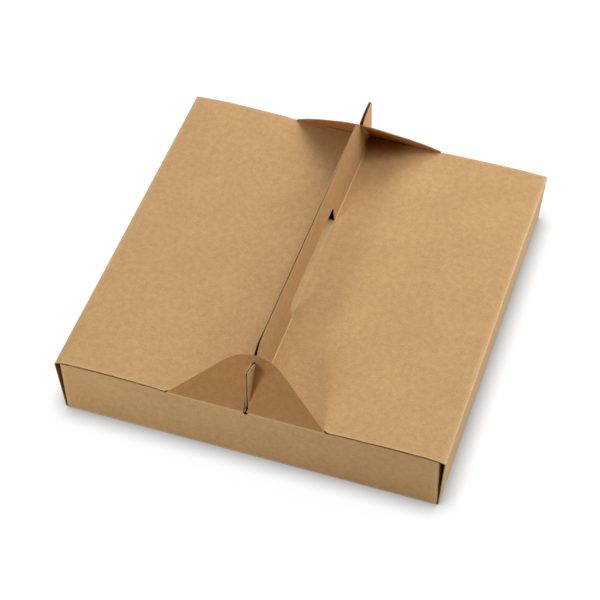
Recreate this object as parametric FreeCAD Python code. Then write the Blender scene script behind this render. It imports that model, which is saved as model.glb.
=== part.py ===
"""Carrier pizza box of plain kraft paperboard, folded from one die-cut sheet.

The box stands on its base. +Z is up, the front is at -Y and the origin is at the middle of the
base's underside. The sheet folds into a base, four walls, two lid halves and two handle panels
that stand up along the middle. A triangular lock flap on the front wall and another on the rear
wall are slotted over the ears at the ends of the handle panels and keep the lid halves shut.

The lock flaps are nodes of their own, because they turn on their creases. All the rest of the
sheet is one piece.
"""
import FreeCAD, Part
from FreeCAD import Vector
import math
import os

# The sheet
CARD = 0.6                    # thickness of the board
BEND = 1.1                    # radius of a fold at the middle of the board
CLEAR = 0.3                   # clearance between parts of the sheet that don't touch
ROUND = 0.5523                # reach of a curve's handles that gives an even quarter-round

# The tray
BASE_WIDTH = 254.9            # width over the side walls at the bottom
FLARE = 3.1                   # how far each side wall leans out at the top
DEPTH = 258.7                 # depth over the front and rear walls
HEIGHT = 44.5                 # from the ground to the top face of the lid halves
TAB_LENGTH = 34.0             # corner tabs, from the front or rear wall's outer face
TAB_LIFT = 1.5                # height of the corner tabs' lower edge above the base

# The handle
HANDLE_RISE = 35.4            # top edge of the handle above the lid halves
HANDLE_GAP = 5.2              # distance between the two handle creases, middle to middle
PANEL_GAP = 0.3               # distance between the two handle panels at their top edge
PINCH_START = 23.4            # the panels begin to close up this far inside the end walls
PINCH_END = 9.4               # from here outwards they lie side by side
CREASE_INSET = 11.4           # the handle creases stop this far inside the end walls

# The hand hole and its tongue
HOLE_FRONT = 47.5             # front end, in front of the middle
HOLE_REAR = 43.5              # rear end, behind the middle
HOLE_RISE = 13.6              # height above the lid halves
HOLE_FRONT_RADIUS = 7.0
HOLE_REAR_RADIUS = 3.5
TONGUE_TILT = 8.0             # degrees by which a tongue leaves the level of its lid half

# The ears and the notches that hold the lock flaps
SHOULDER_INSET = 30.4         # the handle's top edge starts to slope down this far inside
SHOULDER_DROP = 3.2           # how far the slope comes down before the notch
EAR_ROUND_WIDTH = (4.2, 1.2)  # rounding of the ear's outer corner, along Y
EAR_ROUND_DROP = (3.0, 0.8)   # and downwards

# The front ears, then the rear ears
NOTCH_PLAY = (1.1, 3.3)       # depth of the notch below the top of the closed flap's slit
EAR_LIP = (1.4, 1.2)          # height of the ear's steep inner side above the notch
EAR_PLAY = (1.8, 4.9)         # room between the ear's highest point and the top of the slit
EAR_REACH = (-6.9, 4.9)       # from the wall's outer face outwards, at the rounded corner
EAR_SLANT = (4.1, -0.6)       # how much further out the ear's end stands at its foot

# The lock flaps
FLAP_HALF_WIDTH = 53.5        # half the crease
FLAP_HEIGHT = 38.6
FLAP_CROWN_RADIUS = 28.5
FLAP_LEAN = 35.5              # degrees inwards from upright, as closed
BRIDGE = 4.6                  # card left between the slit and the flap's crown
SLIT_PLAY = 0.75              # room on each side of the pair of ears in the slit

# Sizes that follow from those above
half_depth = DEPTH / 2.0
base_half = BASE_WIDTH / 2.0
top_half = base_half + FLARE
mid_card = CARD / 2.0
lid_mid = HEIGHT - mid_card
lid_under = HEIGHT - CARD
wall_top = lid_under - CLEAR
hinge_z = wall_top + CLEAR + mid_card
hinge_y = half_depth - mid_card
handle_top = HEIGHT + HANDLE_RISE
crease_x = HANDLE_GAP / 2.0
far = DEPTH                    # well outside the box on every side
lean = math.radians(FLAP_LEAN)
slit_height = FLAP_HEIGHT - BRIDGE
slit_radius = PANEL_GAP / 2.0 + CARD + SLIT_PLAY


def strip_face(points, thickness, radius, place):
    """Face of a bent strip: straight runs through the points, joined by arcs.

    points are the middle line in the strip's own plane, place turns a plane point to a Vector.
    """
    runs = []
    for first, second in zip(points, points[1:]):
        length = math.dist(first, second)
        runs.append(((second[0] - first[0]) / length, (second[1] - first[1]) / length))
    bends = []
    for corner, before, after in zip(points[1:-1], runs, runs[1:]):
        turn = math.atan2(before[0] * after[1] - before[1] * after[0],
                          before[0] * after[0] + before[1] * after[1])
        back = radius * math.tan(abs(turn) / 2.0)
        start = (corner[0] - back * before[0], corner[1] - back * before[1])
        side = math.copysign(radius, turn)
        centre = (start[0] - side * before[1], start[1] + side * before[0])
        bends.append((start, centre, turn, before))

    def side_edges(offset):
        """Edges of one side of the strip, from its first end to its last."""
        edges = []
        at = (points[0][0] - offset * runs[0][1], points[0][1] + offset * runs[0][0])
        for start, centre, turn, before in bends:
            entry = (start[0] - offset * before[1], start[1] + offset * before[0])
            edges.append(Part.makeLine(place(*at), place(*entry)))
            spoke = (entry[0] - centre[0], entry[1] - centre[1])
            swung = []
            for angle in (turn / 2.0, turn):
                swung.append((centre[0] + spoke[0] * math.cos(angle) - spoke[1] * math.sin(angle),
                              centre[1] + spoke[0] * math.sin(angle) + spoke[1] * math.cos(angle)))
            edges.append(Part.Arc(place(*entry), place(*swung[0]), place(*swung[1])).toShape())
            at = swung[1]
        last = (points[-1][0] - offset * runs[-1][1], points[-1][1] + offset * runs[-1][0])
        edges.append(Part.makeLine(place(*at), place(*last)))
        return edges

    left = side_edges(thickness / 2.0)
    right = side_edges(-thickness / 2.0)
    caps = [Part.makeLine(right[0].Vertexes[0].Point, left[0].Vertexes[0].Point),
            Part.makeLine(left[-1].Vertexes[-1].Point, right[-1].Vertexes[-1].Point)]
    loop = Part.Wire(Part.__sortEdges__(left + right + caps))
    return Part.Face(loop)


def in_xz(y):
    """Plane points read as X and Z, at one Y."""
    return lambda u, v: Vector(u, y, v)


def in_yz(x):
    """Plane points read as Y and Z, at one X."""
    return lambda u, v: Vector(x, u, v)


def in_xy(z):
    """Plane points read as X and Y, at one Z."""
    return lambda u, v: Vector(u, v, z)


def box(low, high):
    """Block between two corners."""
    size = [high[i] - low[i] for i in range(3)]
    return Part.makeBox(size[0], size[1], size[2], Vector(*low))


def wrap():
    """Base, side walls and lid halves: one strip folded round the box."""
    side_foot = base_half - mid_card
    side_head = top_half - mid_card
    middle = [(-crease_x, lid_mid), (-side_head, lid_mid), (-side_foot, mid_card),
              (side_foot, mid_card), (side_head, lid_mid), (crease_x, lid_mid)]
    face = strip_face(middle, CARD, BEND, in_xz(-half_depth))
    strip = face.extrude(Vector(0, DEPTH, 0))
    bend_zone = BEND + mid_card
    for end in (-1, 1):
        edge_low = min(end * half_depth, end * (half_depth - bend_zone))
        strip = strip.cut(box((-side_foot + bend_zone, edge_low, -CARD),
                              (side_foot - bend_zone, edge_low + bend_zone, bend_zone)))
        setback = half_depth - clear_of_flap(HEIGHT)
        behind_flap = min(end * half_depth, end * (half_depth - setback))
        room = FLAP_HALF_WIDTH + CLEAR
        strip = strip.cut(box((-room, behind_flap, wall_top), (room, behind_flap + setback, handle_top)))
    return strip


def end_walls():
    """Front and rear walls, folded up from the base in one strip."""
    reach = base_half - mid_card - BEND - mid_card
    middle = [(-hinge_y, wall_top), (-hinge_y, mid_card), (hinge_y, mid_card), (hinge_y, wall_top)]
    face = strip_face(middle, CARD, BEND, in_yz(-reach))
    return face.extrude(Vector(2.0 * reach, 0, 0))


def corner_tabs(end):
    """The tabs that turn inwards from both ends of a front (-1) or rear (1) wall."""
    side = base_half - CARD - CLEAR - mid_card
    wall = end * hinge_y
    inward = end * (half_depth - TAB_LENGTH)
    middle = [(-side, inward), (-side, wall), (side, wall), (side, inward)]
    foot = CARD + TAB_LIFT
    face = strip_face(middle, CARD, BEND, in_xy(foot))
    return face.extrude(Vector(0, 0, wall_top - foot))


def panel_section(side, y, foot_x):
    """Slanted section of a handle panel at one Y, with its inner foot at foot_x."""
    head_x = PANEL_GAP / 2.0
    foot_z = lid_under
    corners = [(foot_x, foot_z), (foot_x + CARD, foot_z),
               (head_x + CARD, handle_top), (head_x, handle_top)]
    points = [Vector(side * x, y, z) for x, z in corners]
    return Part.makePolygon(points + [points[0]])


def clear_of_flap(z):
    """Distance from the middle at which the sheet stays clear inside a closed lock flap."""
    flap_middle = hinge_y - (z - hinge_z) * math.tan(lean)
    return flap_middle - (mid_card + CLEAR) / math.cos(lean)


def outside_flap(z):
    """Distance from the middle at which an ear stands clear outside a closed lock flap."""
    return clear_of_flap(z) + 2.0 * (mid_card + CLEAR) / math.cos(lean)


def round_corner(first, corner, last):
    """Quarter-round edge from one point to another, leaving both towards the corner.

    Points are (Y, Z). The handles of the curve reach ROUND of the way to the corner.
    """
    poles = [first,
             tuple(a + ROUND * (b - a) for a, b in zip(first, corner)),
             tuple(a + ROUND * (b - a) for a, b in zip(last, corner)),
             last]
    curve = Part.BezierCurve()
    curve.setPoles([Vector(0, y, z) for y, z in poles])
    return curve.toShape()


def polyline(points):
    """Straight edges through points given as (Y, Z)."""
    return Part.makePolygon([Vector(0, y, z) for y, z in points]).Edges


def prism(edges):
    """Solid that carries an outline in the YZ plane far out to both sides."""
    face = Part.Face(Part.Wire(Part.__sortEdges__(edges)))
    face.translate(Vector(-far, 0, 0))
    return face.extrude(Vector(2.0 * far, 0, 0))


def end_outline(end):
    """Half of a handle panel's outline, from the middle round the ear and back along the crease.

    end is -1 for the front half and 1 for the rear half.
    """
    which = (end + 1) // 2
    brow_z = handle_top - SHOULDER_DROP
    floor_z = hinge_z + slit_height * math.cos(lean) - NOTCH_PLAY[which]
    ear_foot = outside_flap(floor_z)
    lip_z = floor_z + EAR_LIP[which]
    ear_top = hinge_z + slit_height - EAR_PLAY[which]
    corner_y = half_depth + EAR_REACH[which]
    crown_y = corner_y - EAR_ROUND_WIDTH[which]
    corner_z = ear_top - EAR_ROUND_DROP[which]
    free_edge = HEIGHT + CLEAR
    crease_end = half_depth - CREASE_INSET
    edges = polyline([(0, lid_under), (0, handle_top), (end * (half_depth - SHOULDER_INSET), handle_top),
                      (end * clear_of_flap(brow_z), brow_z), (end * clear_of_flap(floor_z), floor_z),
                      (end * ear_foot, floor_z), (end * ear_foot, lip_z), (end * crown_y, ear_top)])
    edges.append(round_corner((end * crown_y, ear_top), (end * corner_y, ear_top),
                              (end * corner_y, corner_z)))
    edges += polyline([(end * corner_y, corner_z), (end * (corner_y + EAR_SLANT[which]), free_edge),
                       (end * crease_end, free_edge), (end * crease_end, lid_under), (0, lid_under)])
    return prism(edges)


def hole_outline(foot, rise):
    """Edges of the hand hole or a tongue, from its foot to its far edge."""
    top = foot + rise
    front_side = top - HOLE_FRONT_RADIUS
    rear_side = top - HOLE_REAR_RADIUS
    front_top = -HOLE_FRONT + HOLE_FRONT_RADIUS
    rear_top = HOLE_REAR - HOLE_REAR_RADIUS
    edges = polyline([(HOLE_REAR, rear_side), (HOLE_REAR, foot),
                      (-HOLE_FRONT, foot), (-HOLE_FRONT, front_side)])
    edges.append(round_corner((-HOLE_FRONT, front_side), (-HOLE_FRONT, top), (front_top, top)))
    edges += polyline([(front_top, top), (rear_top, top)])
    edges.append(round_corner((rear_top, top), (HOLE_REAR, top), (HOLE_REAR, rear_side)))
    return edges


def hand_hole():
    """Prism that cuts the hand hole through both panels, down to the crease."""
    return prism(hole_outline(lid_under, HOLE_RISE + CARD))


def tongue(side):
    """What was cut free for the hand hole: it stays nearly level with its own lid half.

    The right one (side 1) passes over the left lid half, the left one passes under the right.
    """
    face = Part.Face(Part.Wire(Part.__sortEdges__(hole_outline(0.0, HOLE_RISE))))
    plate = face.extrude(Vector(CARD, 0, 0))
    plate.translate(Vector(-mid_card, 0, 0))
    plate.rotate(Vector(0, 0, 0), Vector(0, 1, 0), -side * 90.0 + TONGUE_TILT)
    plate.translate(Vector(side * crease_x, 0, lid_mid))
    return plate


def handle_panel(side):
    """One handle panel with its two ears: side 1 is on the right lid half, -1 on the left."""
    foot_x = crease_x - mid_card
    ear_x = PANEL_GAP / 2.0
    pinch_start = half_depth - PINCH_START
    pinch_end = half_depth - PINCH_END
    stations = [(-far, ear_x), (-pinch_end, ear_x), (-pinch_start, foot_x),
                (pinch_start, foot_x), (pinch_end, ear_x), (far, ear_x)]
    sections = [panel_section(side, y, x) for y, x in stations]
    plate = Part.makeLoft(sections, True, True)
    outline = end_outline(-1).fuse(end_outline(1))
    return plate.common(outline).cut(hand_hole())


def carton():
    """The folded sheet without its lock flaps."""
    body = wrap().fuse(end_walls())
    for end in (-1, 1):
        body = body.fuse(corner_tabs(end))
    for side in (-1, 1):
        body = body.fuse(handle_panel(side))
        body = body.fuse(tongue(side))
    slit_feet = Part.makeCylinder(slit_radius, 2.0 * far, Vector(0, -far, hinge_z), Vector(0, 1, 0))
    walls = box((-far, -far, 0), (far, far, wall_top))
    return body.cut(slit_feet.common(walls)).removeSplitter()


def lock_flap(end):
    """A lock flap in its closed place: front (-1) or rear (1)."""
    centre = FLAP_HEIGHT - FLAP_CROWN_RADIUS
    reach = math.hypot(FLAP_HALF_WIDTH, centre)
    swing = math.acos(FLAP_CROWN_RADIUS / reach) - math.atan2(centre, FLAP_HALF_WIDTH)
    touch_x = FLAP_CROWN_RADIUS * math.cos(swing)
    touch_r = centre + FLAP_CROWN_RADIUS * math.sin(swing)
    side = [Part.makeLine(Vector(sign * FLAP_HALF_WIDTH, 0, 0), Vector(sign * touch_x, 0, touch_r))
            for sign in (-1, 1)]
    crown = Part.Arc(Vector(-touch_x, 0, touch_r), Vector(0, 0, FLAP_HEIGHT),
                     Vector(touch_x, 0, touch_r)).toShape()
    foot = Part.makeLine(Vector(-FLAP_HALF_WIDTH, 0, 0), Vector(FLAP_HALF_WIDTH, 0, 0))
    face = Part.Face(Part.Wire(Part.__sortEdges__(side + [crown, foot])))
    plate = face.extrude(Vector(0, CARD, 0))
    plate.translate(Vector(0, -mid_card, 0))
    rounded = Part.makeCylinder(mid_card, 2.0 * FLAP_HALF_WIDTH, Vector(-FLAP_HALF_WIDTH, 0, 0),
                                Vector(1, 0, 0))
    straight = slit_height - slit_radius
    slit = box((-slit_radius, -CARD, -CARD), (slit_radius, CARD, straight))
    slit = slit.fuse(Part.makeCylinder(slit_radius, 2.0 * CARD, Vector(0, -CARD, straight), Vector(0, 1, 0)))
    flap = plate.fuse(rounded).cut(slit)
    flap.rotate(Vector(0, 0, 0), Vector(1, 0, 0), end * FLAP_LEAN)
    flap.translate(Vector(0, end * hinge_y, hinge_z))
    return flap.removeSplitter()


def main():
    """Builds each node and writes it to a file of its own."""
    os.makedirs("parts", exist_ok=True)
    nodes = {"carton": carton(), "front_lock_flap": lock_flap(-1), "rear_lock_flap": lock_flap(1)}
    for name, shape in nodes.items():
        shape.exportStep("parts/" + name + ".step")
        bounds = shape.BoundBox
        print(name, "solids", len(shape.Solids), "valid", shape.isValid(), "volume", round(shape.Volume, 1),
              "x", round(bounds.XMin, 2), round(bounds.XMax, 2), "y", round(bounds.YMin, 2),
              round(bounds.YMax, 2), "z", round(bounds.ZMin, 2), round(bounds.ZMax, 2))


main()
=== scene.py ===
"""Carrier pizza box of plain kraft paperboard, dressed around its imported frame.

The box is one folded sheet of board. Each class below holds one part of that sheet: the wrap of
base, side walls and lid halves, the front and rear walls with their corner tabs, the two handle
panels, the tongues of the hand hole and the two lock flaps. Sizes are in millimetres until a mesh
is written, +Z is up and the front is at -Y.
"""

import logging
import math
from collections.abc import Callable
from dataclasses import dataclass
from enum import Enum

import bpy
import numpy as np
from mathutils import Matrix, Vector


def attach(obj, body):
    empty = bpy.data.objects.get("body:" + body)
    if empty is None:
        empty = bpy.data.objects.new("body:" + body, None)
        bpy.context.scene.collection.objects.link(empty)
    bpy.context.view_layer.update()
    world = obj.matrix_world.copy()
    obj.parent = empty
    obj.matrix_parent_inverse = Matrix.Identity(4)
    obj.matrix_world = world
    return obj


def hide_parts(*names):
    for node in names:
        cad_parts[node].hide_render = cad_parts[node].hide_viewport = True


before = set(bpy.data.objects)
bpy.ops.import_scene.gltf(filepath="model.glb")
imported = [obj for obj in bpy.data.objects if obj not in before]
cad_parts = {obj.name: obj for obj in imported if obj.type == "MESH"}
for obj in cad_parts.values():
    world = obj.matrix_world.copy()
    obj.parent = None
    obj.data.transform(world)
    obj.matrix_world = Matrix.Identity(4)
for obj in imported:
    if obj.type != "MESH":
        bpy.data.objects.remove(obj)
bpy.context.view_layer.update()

MM = 0.001
Array = np.ndarray
Triple = tuple[float, float, float]
Socket = bpy.types.NodeSocket
Inputs = dict[str | int, Socket | float | tuple[float, ...]]
log = logging.getLogger("pizza_box")


class Side(Enum):
    """The two halves of the box: the sign is that of X."""

    RIGHT = 1
    LEFT = -1


class End(Enum):
    """The two ends of the box: the sign is that of Y."""

    FRONT = -1
    REAR = 1


def smooth(value: Array, low: float, high: float) -> Array:
    """Rises evenly from 0 at low to 1 at high, level at both.

    Args:
        value: where to read it.
        low: value at which the result is 0.
        high: value at which the result is 1.

    Returns:
        Three times the square less twice the cube of the way from low to high.
    """
    way = np.clip((value - low) / (high - low), 0.0, 1.0)
    return way * way * (3.0 - 2.0 * way)


def stops(marks: list[float] | Array, step: float) -> Array:
    """Numbers that run through all marks, with even steps between them.

    Args:
        marks: numbers that must be among the result, in any order.
        step: widest step allowed.

    Returns:
        The marks and the numbers between them, in rising order.
    """
    marks = np.unique(np.round(np.asarray(marks, float), 6))
    runs = [np.linspace(a, b, max(1, math.ceil((b - a) / step)) + 1)[:-1]
            for a, b in zip(marks, marks[1:])]
    return np.concatenate(runs + [marks[-1:]])


def fillet(corner: tuple[float, float], before: tuple[float, float], after: tuple[float, float],
           radius: float, steps: int) -> Array:
    """Arc that rounds a corner of a section.

    Args:
        corner: the sharp corner.
        before: a point on the run that comes in.
        after: a point on the run that goes out.
        radius: radius of the arc.
        steps: number of chords.

    Returns:
        Points of the arc, from the incoming run to the outgoing one: its centre plus the radius
        times a spoke that swings evenly from one tangent point to the other.
    """
    corner_at = np.array(corner)
    came = (corner_at - np.array(before)) / np.linalg.norm(corner_at - np.array(before))
    goes = (np.array(after) - corner_at) / np.linalg.norm(np.array(after) - corner_at)
    turn = math.atan2(came[0] * goes[1] - came[1] * goes[0], float(came @ goes))
    start = corner_at - came * radius * math.tan(abs(turn) / 2.0)
    inward = np.array([-came[1], came[0]]) * math.copysign(1.0, turn)
    centre = start + inward * radius
    swing = np.linspace(0.0, turn, steps + 1)
    spoke = -inward * radius
    x = centre[0] + spoke[0] * np.cos(swing) - spoke[1] * np.sin(swing)
    z = centre[1] + spoke[0] * np.sin(swing) + spoke[1] * np.cos(swing)
    return np.stack([x, z], axis=1)


def path_length(line: Array) -> Array:
    """Distance of each point of a line from its first point, along the line."""
    return np.append(0.0, np.cumsum(np.linalg.norm(np.diff(line, axis=0), axis=1)))


def bell(value: Array, width: float) -> Array:
    """Bell curve, 1 at 0: e to the minus square of value over width."""
    return np.exp(-(value / width) ** 2)


def hill(value: Array, foot: float, brow: float, edge: float, end: float) -> Array:
    """Rises smoothly from 0 at foot to 1 at brow, and falls back from edge to end."""
    return smooth(value, foot, brow) * (1.0 - smooth(value, edge, end))


def spread(column: Array, count: int) -> Array:
    """Repeats one column of values so many times, side by side."""
    return np.repeat(column[:, None], count, 1)


def between(low: Array, high: Array, way: Array) -> Array:
    """Rows that run each from its own low to its own high, by the shares in way."""
    return low[:, None] * (1.0 - way) + high[:, None] * way


@dataclass(frozen=True)
class Blank:
    """Sizes of the folded sheet that more than one panel needs."""

    card: float = 0.6
    bend: float = 0.55
    clear: float = 0.3
    base_half: float = 127.45
    top_half: float = 130.45
    half_depth: float = 129.35
    height: float = 44.5
    handle_rise: float = 35.37
    crease_x: float = 2.6
    crease_bend: float = 0.8
    crease_end: float = 117.95
    pinch_start: float = 105.95
    pinch_end: float = 119.95
    pinched_x: float = 0.45
    parted_x: float = 1.08
    hole_front: float = 47.5
    hole_rear: float = 43.5
    hole_rise: float = 13.6
    hole_front_radius: float = 7.0
    hole_rear_radius: float = 3.5
    flap_half: float = 53.5
    flap_lean: float = math.radians(35.5)
    slit_radius: float = 1.5
    station_step: float = 2.6

    @property
    def half_card(self) -> float:
        """Half the thickness of the board."""
        return self.card / 2.0

    @property
    def lid_mid(self) -> float:
        """Height of the middle of the lid halves."""
        return self.height - self.half_card

    @property
    def handle_top(self) -> float:
        """Height of the top edge of the handle."""
        return self.height + self.handle_rise

    @property
    def hinge_y(self) -> float:
        """Distance of a lock flap's crease from the middle."""
        return self.half_depth - self.half_card

    @property
    def lid_start(self) -> float:
        """Distance from the middle at which a lid half begins, outside the bend of its crease."""
        return self.crease_x + self.crease_bend

    def foot_x(self, y: Array) -> Array:
        """X of the crease of the right half: it moves in towards the middle near both ends."""
        pinch = smooth(np.abs(y), self.pinch_start, self.pinch_end)
        return self.crease_x + (np.where(y < 0.0, self.pinched_x, self.parted_x) - self.crease_x) * pinch

    def clear_of_flap(self, z: Array) -> Array:
        """Distance from the middle at which the sheet stays clear inside a closed lock flap.

        Args:
            z: height.

        Returns:
            The flap's middle plane at that height, less its own half thickness and the clearance.
        """
        plane = self.hinge_y - (z - self.lid_mid) * math.tan(self.flap_lean)
        return plane - (self.half_card + self.clear) / math.cos(self.flap_lean)

    def hole_reach(self, y: Array) -> Array:
        """How far the cut of the hand hole reaches from the crease at each Y.

        Args:
            y: places along the handle.

        Returns:
            The full rise, less a quarter circle at both ends: radius less the root of the radius
            squared less the square of how far Y has entered the corner.
        """
        reach = np.full_like(y, self.hole_rise + self.half_card)
        for past, radius in ((-y - self.hole_front, self.hole_front_radius),
                             (y - self.hole_rear, self.hole_rear_radius)):
            entered = np.clip(past + radius, 0.0, radius)
            reach -= radius - np.sqrt(np.maximum(radius ** 2 - entered ** 2, 0.0))
        return reach

    def slit_stations(self) -> Array:
        """Places along X across half a slit, closer together at its edge."""
        return self.slit_radius * np.sin(np.linspace(0.0, math.pi / 2.0, 9))

    def slit_end(self, x: Array) -> Array:
        """Height of the half circle that ends a slit, above its straight sides, and 0 beyond it."""
        return np.sqrt(np.maximum(self.slit_radius ** 2 - x ** 2, 0.0))

    def hole_stations(self) -> Array:
        """Divides the hand hole along Y.

        Returns:
            Places from its front end to its rear end, closer together in its corners.
        """
        swing = np.linspace(0.0, math.pi / 2.0, 10)
        front = -self.hole_front + self.hole_front_radius * (1.0 - np.cos(swing))
        rear = self.hole_rear - self.hole_rear_radius * (1.0 - np.cos(swing))
        return stops(np.concatenate([front, rear]), self.station_step)

    def crease_stations(self) -> Array:
        """Divides the handle's crease along Y.

        Returns:
            Places that the lid halves, the handle panels and the tongues share.
        """
        outer = stops([self.hole_front, self.crease_end], self.station_step)
        rear = stops([self.hole_rear, self.crease_end], self.station_step)
        return np.unique(np.round(np.concatenate([-outer, self.hole_stations(), rear]), 6))


@dataclass
class Patch:
    """A grid of points on the middle of the board."""

    points: Array
    flat: Array
    wear_and_painted_light: Array

    def mirrored(self) -> "Patch":
        """Moves the patch to the other half of the box.

        Returns:
            A patch with X reversed, and its rows too, so that its outside stays out.
        """
        points = self.points[::-1] * np.array([-1.0, 1.0, 1.0])
        flat = self.flat[::-1] * np.array([-1.0, 1.0])
        return Patch(points, flat, self.wear_and_painted_light[::-1])

    def turned(self) -> "Patch":
        """The same patch at the other end of the box, turned half round about Z."""
        return Patch(self.points * np.array([-1.0, -1.0, 1.0]), -self.flat, self.wear_and_painted_light)


@dataclass
class Board:
    """Patches of one piece of board, welded and given their thickness.

    A mask, read at the middle of each cut edge face, tells whether that face takes the third
    finish, a painted shade, which the whole inside takes as well where that is asked for.
    """

    name: str
    thickness: float
    patches: list[Patch]
    painted_shade: Callable[[Array], Array] | None = None
    shaded_inside: bool = False
    no_area: float = 1e-9
    inside_shift: float = 0.05

    @staticmethod
    def facing(points: Array, quads: Array) -> Array:
        """Normal of each face, twice its area long: the cross product of its diagonals."""
        first, second, third, fourth = (points[quads[:, corner]] for corner in range(4))
        return np.cross(third - first, fourth - second)

    @staticmethod
    def keys(pairs: Array, count: int) -> Array:
        """One number for each pair of points out of count, the same for both orders."""
        return np.sort(pairs, axis=1) @ np.array([count, 1])

    def welded(self) -> tuple[Array, Array, Array, Array]:
        """Joins the patches where they meet.

        Returns:
            Points on the middle of the board, their places on the flat sheet, their paleness from
            worn fibres and painted light, and the faces as rows of four points, without those that
            have no area.
        """
        points = np.concatenate([p.points.reshape(-1, 3) for p in self.patches])
        flat = np.concatenate([p.flat.reshape(-1, 2) for p in self.patches])
        wear_and_painted_light = np.concatenate([p.wear_and_painted_light.reshape(-1) for p in self.patches])
        quads = []
        first = 0
        for patch in self.patches:
            rows, columns = patch.points.shape[:2]
            index = first + np.arange(rows * columns).reshape(rows, columns)
            ring = [index[:-1, :-1], index[1:, :-1], index[1:, 1:], index[:-1, 1:]]
            quads.append(np.stack(ring, -1).reshape(-1, 4))
            first += rows * columns
        _, kept, joined = np.unique(np.round(points, 3), axis=0, return_index=True, return_inverse=True)
        quads = joined.reshape(-1)[np.concatenate(quads)]
        points = points[kept]
        area = np.linalg.norm(self.facing(points, quads), axis=1)
        return points, flat[kept], wear_and_painted_light[kept], quads[area > self.no_area]

    def mesh(self) -> bpy.types.Object:
        """Makes the piece.

        Each point's normal is the sum of the normals of the faces around it, the two faces of the
        board lie half the thickness to each side along it, and a band of faces along every open
        edge closes the board.

        Returns:
            The object, at the origin.
        """
        points, flat, wear_and_painted_light, quads = self.welded()
        count = len(points)
        facing = self.facing(points, quads)
        normals = np.zeros_like(points)
        for corner in range(4):
            np.add.at(normals, quads[:, corner], facing)
        normals /= np.linalg.norm(normals, axis=1, keepdims=True)
        shift = normals * self.thickness / 2.0
        sides = np.concatenate([quads[:, [k, (k + 1) % 4]] for k in range(4)])
        sides = sides[sides[:, 0] != sides[:, 1]]
        _, at, uses = np.unique(self.keys(sides, count), return_index=True, return_counts=True)
        open_sides = sides[at[uses == 1]]
        rims = np.concatenate([open_sides + count, open_sides[:, ::-1]], 1)
        faces = np.concatenate([quads, quads[:, ::-1] + count, rims])
        mesh = bpy.data.meshes.new(self.name)
        corners = np.concatenate([points + shift, points - shift]) * MM
        mesh.from_pydata(corners.tolist(), [], faces.tolist())
        mesh.polygons.foreach_set("use_smooth", np.ones(len(faces), bool))
        # Faces of the inside take the third finish, painted shade, where asked; cut edges the second, or
        # the third where the mask picks them.
        band = np.repeat([0, 2 * self.shaded_inside, 1], [len(quads), len(quads), len(rims)]).astype(np.int32)
        if self.painted_shade is not None:
            band[len(quads) * 2:] += self.painted_shade(points[open_sides].mean(axis=1))
        mesh.polygons.foreach_set("material_index", band)
        self.crisp(mesh, np.concatenate([open_sides, open_sides + count]))
        self.label(mesh, flat, wear_and_painted_light)
        mesh.validate()
        mesh.update()
        piece = bpy.data.objects.new(self.name, mesh)
        bpy.context.scene.collection.objects.link(piece)
        return piece

    def crisp(self, mesh: bpy.types.Mesh, rims: Array) -> None:
        """Marks the edges of the cut as sharp.

        Args:
            mesh: the board's mesh.
            rims: the two points of each edge to mark.
        """
        ends = np.zeros(len(mesh.edges) * 2, np.int64)
        mesh.edges.foreach_get("vertices", ends)
        count = len(mesh.vertices)
        marked = np.isin(self.keys(ends.reshape(-1, 2), count), self.keys(rims, count))
        mesh.attributes.new("sharp_edge", "BOOLEAN", "EDGE").data.foreach_set("value", marked)

    def label(self, mesh: bpy.types.Mesh, flat: Array, wear_and_painted_light: Array) -> None:
        """Gives each point its place on the flat sheet and its paleness, from worn fibres and
        painted light, which is 0 on the inside.

        Args:
            mesh: the board's mesh, the points of its outside first.
            flat: place of each point on the flat sheet.
            wear_and_painted_light: wear of each point.
        """
        count = len(flat)
        place = np.zeros((2 * count, 3))
        place[:, :2] = np.tile(flat, (2, 1)) * MM
        place[count:, 2] = self.inside_shift
        sheet = mesh.attributes.new("sheet", "FLOAT_VECTOR", "POINT")
        sheet.data.foreach_set("vector", place.reshape(-1))
        worn_and_lit = mesh.attributes.new("wear_and_painted_light", "FLOAT", "POINT")
        worn_and_lit.data.foreach_set("value", np.concatenate([wear_and_painted_light, np.zeros(count)]))


@dataclass(frozen=True)
class Pattern:
    """A noise: features per metre, octaves added and the weight of each next octave.

    Its features may be squeezed that many times across a direction turned by an angle in radians.
    """

    scale: float
    detail: float = 2.0
    roughness: float = 0.6
    squeeze: float = 1.0
    turn: float = 0.0


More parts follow.
